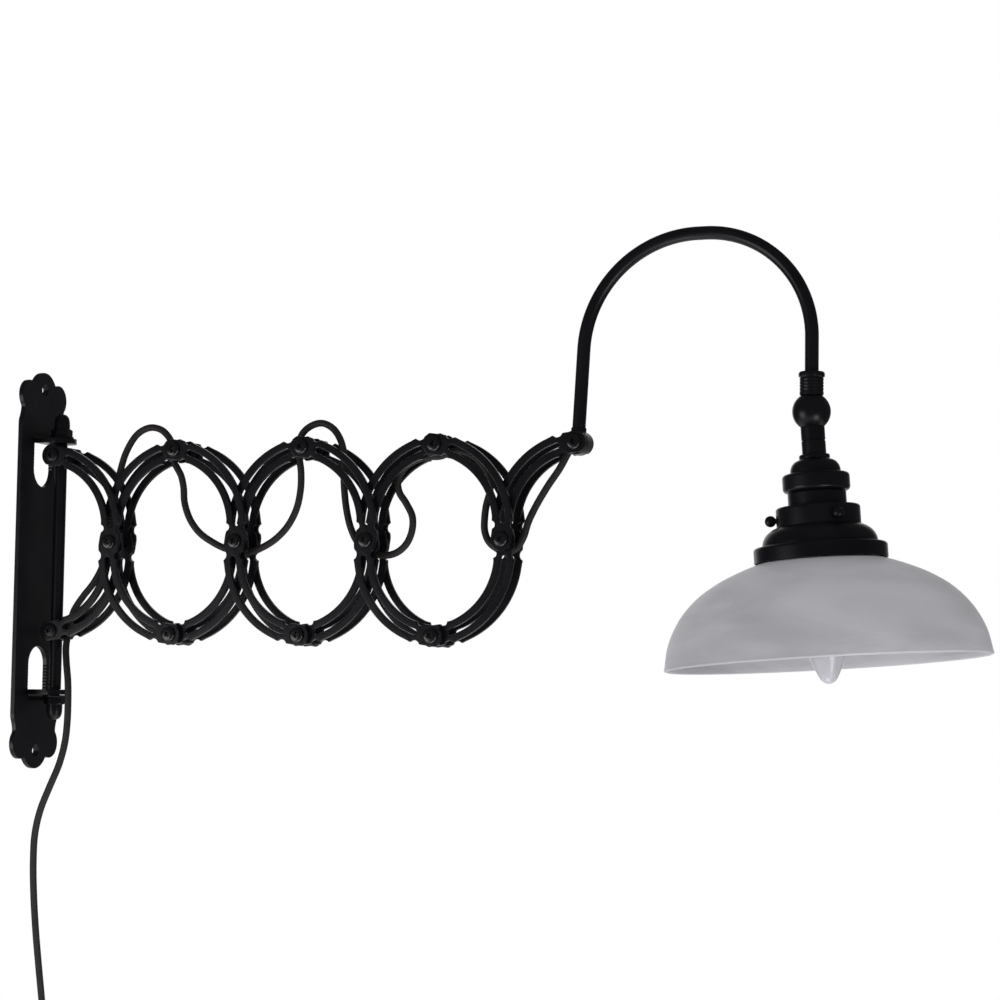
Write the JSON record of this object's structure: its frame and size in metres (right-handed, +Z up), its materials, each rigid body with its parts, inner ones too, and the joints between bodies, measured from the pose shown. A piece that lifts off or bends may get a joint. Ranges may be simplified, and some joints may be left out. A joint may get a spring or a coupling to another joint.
{
  "type": "accordion wall lamp",
  "caption": "Wall lamp on a lazy-tongs arm that folds and swings about a rod, with a gooseneck, a tilting head and a glass bowl shade.",
  "frame": {"origin": "on the wall, at the middle of the wall plate's back face", "axes": "+X out of the wall along the arm, +Z up along the pivot rod, +Y to the left of someone who looks out from the wall"},
  "size_m": [0.7578, 0.2314, 0.7443],
  "materials": {
    "black_paint": "satin black paint on steel",
    "frosted_glass": "frosted grey glass",
    "clear_glass": "clear and glossy",
    "bright_metal": "bright nickel plate",
    "white_ceramic": "white glazed porcelain",
    "cord_rubber": "dull dark brown sheath"
  },
  "bodies": {
    "wall_bracket": {"wall_plate": "black_paint", "pivot_rod": "black_paint", "top_cap_nut": "black_paint", "bottom_cap_nut": "black_paint"},
    "arm_swivel": {"swivel_block": "black_paint"},
    "falling_bars_1": {"falling_bar_1_front": "black_paint", "falling_bar_1_back": "black_paint", "crossing_pivot_1": "black_paint", "lower_pivot_1": "black_paint"},
    "rising_bars_1": {"rising_bar_1_front": "black_paint", "rising_bar_1_back": "black_paint", "upper_pivot_1": "black_paint", "cord_on_rising_1": "cord_rubber"},
    "slider": {"sliding_block": "black_paint", "hanging_cord": "cord_rubber", "cord_coil": "cord_rubber", "mains_plug": "cord_rubber"},
    "rising_bars_2": {"rising_bar_2_front": "black_paint", "rising_bar_2_back": "black_paint", "crossing_pivot_2": "black_paint", "upper_pivot_2": "black_paint", "cord_on_rising_2": "cord_rubber"},
    "falling_bars_2": {"falling_bar_2_front": "black_paint", "falling_bar_2_back": "black_paint", "lower_pivot_2": "black_paint", "cord_on_falling_2": "cord_rubber"},
    "falling_bars_3": {"falling_bar_3_front": "black_paint", "falling_bar_3_back": "black_paint", "crossing_pivot_3": "black_paint", "lower_pivot_3": "black_paint", "cord_on_falling_3": "cord_rubber"},
    "rising_bars_3": {"rising_bar_3_front": "black_paint", "rising_bar_3_back": "black_paint", "upper_pivot_3": "black_paint", "cord_on_rising_3": "cord_rubber"},
    "rising_bars_4": {"rising_bar_4_front": "black_paint", "rising_bar_4_back": "black_paint", "crossing_pivot_4": "black_paint", "gooseneck_pivot": "black_paint", "cord_on_rising_4": "cord_rubber"},
    "falling_bars_4": {"falling_bar_4_front": "black_paint", "falling_bar_4_back": "black_paint", "cord_on_falling_4": "cord_rubber"},
    "gooseneck": {"gooseneck_foot": "black_paint", "gooseneck_tube": "black_paint", "cord_in_gooseneck": "cord_rubber", "swivel_collar": "black_paint"},
    "head_swivel": {"knuckle_upper": "black_paint", "knuckle_screw": "black_paint"},
    "lamp_head": {"knuckle_stem": "black_paint", "holder_cap": "black_paint", "holder_shell": "black_paint", "holder_insert": "white_ceramic", "shade_gallery": "black_paint", "glass_shade": "frosted_glass"},
    "thumb_screw_1": {"thumb_screw_1": "black_paint"},
    "thumb_screw_2": {"thumb_screw_2": "black_paint"},
    "thumb_screw_3": {"thumb_screw_3": "black_paint"},
    "bulb": {"bulb_cap": "bright_metal", "bulb_glass": "clear_glass"}
  },
  "joints": [
    {"name": "arm_swing", "type": "hinge", "parent": "wall_bracket", "child": "arm_swivel", "pos_m": [0.02, 0, 0], "axis": [0, 0, 1], "range_deg": [-60, 60]},
    {"name": "arm_extend", "type": "hinge", "parent": "arm_swivel", "child": "falling_bars_1", "pos_m": [0.02, 0, 0.09], "axis": [0, -1, 0], "range_deg": [-25, 27], "deforming": ["cord_on_rising_1", "cord_on_falling_2", "cord_on_rising_2", "cord_on_falling_3", "cord_on_rising_3", "cord_on_falling_4", "cord_on_rising_4", "hanging_cord"]},
    {"name": "crossing_1_turn", "type": "hinge", "parent": "falling_bars_1", "child": "rising_bars_1", "pos_m": [0.0726, 0, 0.0207], "axis": [0, -1, 0], "range_deg": [-54, 50]},
    {"name": "slider_turn", "type": "hinge", "parent": "rising_bars_1", "child": "slider", "pos_m": [0.02, 0, -0.0486], "axis": [0, -1, 0], "range_deg": [-25, 27]},
    {"name": "lower_1_turn", "type": "hinge", "parent": "falling_bars_1", "child": "rising_bars_2", "pos_m": [0.12701, 0, -0.05099], "axis": [0, -1, 0], "range_deg": [-54, 50]},
    {"name": "crossing_2_turn", "type": "hinge", "parent": "rising_bars_2", "child": "falling_bars_2", "pos_m": [0.18143, 0, 0.0207], "axis": [0, -1, 0], "range_deg": [-50, 54]},
    {"name": "upper_2_turn", "type": "hinge", "parent": "rising_bars_2", "child": "falling_bars_3", "pos_m": [0.23584, 0, 0.09239], "axis": [0, -1, 0], "range_deg": [-50, 54]},
    {"name": "crossing_3_turn", "type": "hinge", "parent": "falling_bars_3", "child": "rising_bars_3", "pos_m": [0.29026, 0, 0.0207], "axis": [0, -1, 0], "range_deg": [-54, 50]},
    {"name": "lower_3_turn", "type": "hinge", "parent": "falling_bars_3", "child": "rising_bars_4", "pos_m": [0.34467, 0, -0.05099], "axis": [0, -1, 0], "range_deg": [-54, 50]},
    {"name": "crossing_4_turn", "type": "hinge", "parent": "rising_bars_4", "child": "falling_bars_4", "pos_m": [0.39908, 0, 0.0207], "axis": [0, -1, 0], "range_deg": [-50, 54]},
    {"name": "neck_tilt", "type": "hinge", "parent": "rising_bars_4", "child": "gooseneck", "pos_m": [0.4535, 0, 0.09239], "axis": [0, -1, 0], "range_deg": [-35, 35]},
    {"name": "head_turn", "type": "hinge", "parent": "gooseneck", "child": "head_swivel", "pos_m": [0.62902, 0, 0.11114], "axis": [0, 0, 1], "range_deg": [-90, 170]},
    {"name": "head_tilt", "type": "hinge", "parent": "head_swivel", "child": "lamp_head", "pos_m": [0.62902, 0, 0.11114], "axis": [0.1564, 0.9877, 0], "range_deg": [-40, 40]},
    {"name": "thumb_screw_1_turn", "type": "hinge", "parent": "lamp_head", "child": "thumb_screw_1", "pos_m": [0.65268, -0.02485, 0.03637], "axis": [0.5998, -0.7983, 0.0539], "continuous": true},
    {"name": "thumb_screw_2_turn", "type": "hinge", "parent": "lamp_head", "child": "thumb_screw_2", "pos_m": [0.64639, 0.02672, 0.0353], "axis": [0.3901, 0.9206, 0.0181], "continuous": true},
    {"name": "thumb_screw_3_turn", "type": "hinge", "parent": "lamp_head", "child": "thumb_screw_3", "pos_m": [0.60499, -0.00457, 0.03259], "axis": [-0.9899, -0.1223, -0.0721], "continuous": true},
    {"name": "bulb_turn", "type": "hinge", "parent": "lamp_head", "child": "bulb", "pos_m": [0.63798, -0.00142, -0.00952], "axis": [0.0741, -0.0117, -0.9972], "continuous": true}
  ],
  "couplings": [
    {"joint": "crossing_1_turn", "follows": "arm_extend", "ratio": -2},
    {"joint": "slider_turn", "follows": "arm_extend", "ratio": 1},
    {"joint": "lower_1_turn", "follows": "arm_extend", "ratio": -2},
    {"joint": "crossing_2_turn", "follows": "arm_extend", "ratio": 2},
    {"joint": "upper_2_turn", "follows": "arm_extend", "ratio": 2},
    {"joint": "crossing_3_turn", "follows": "arm_extend", "ratio": -2},
    {"joint": "lower_3_turn", "follows": "arm_extend", "ratio": -2},
    {"joint": "crossing_4_turn", "follows": "arm_extend", "ratio": 2}
  ]
}
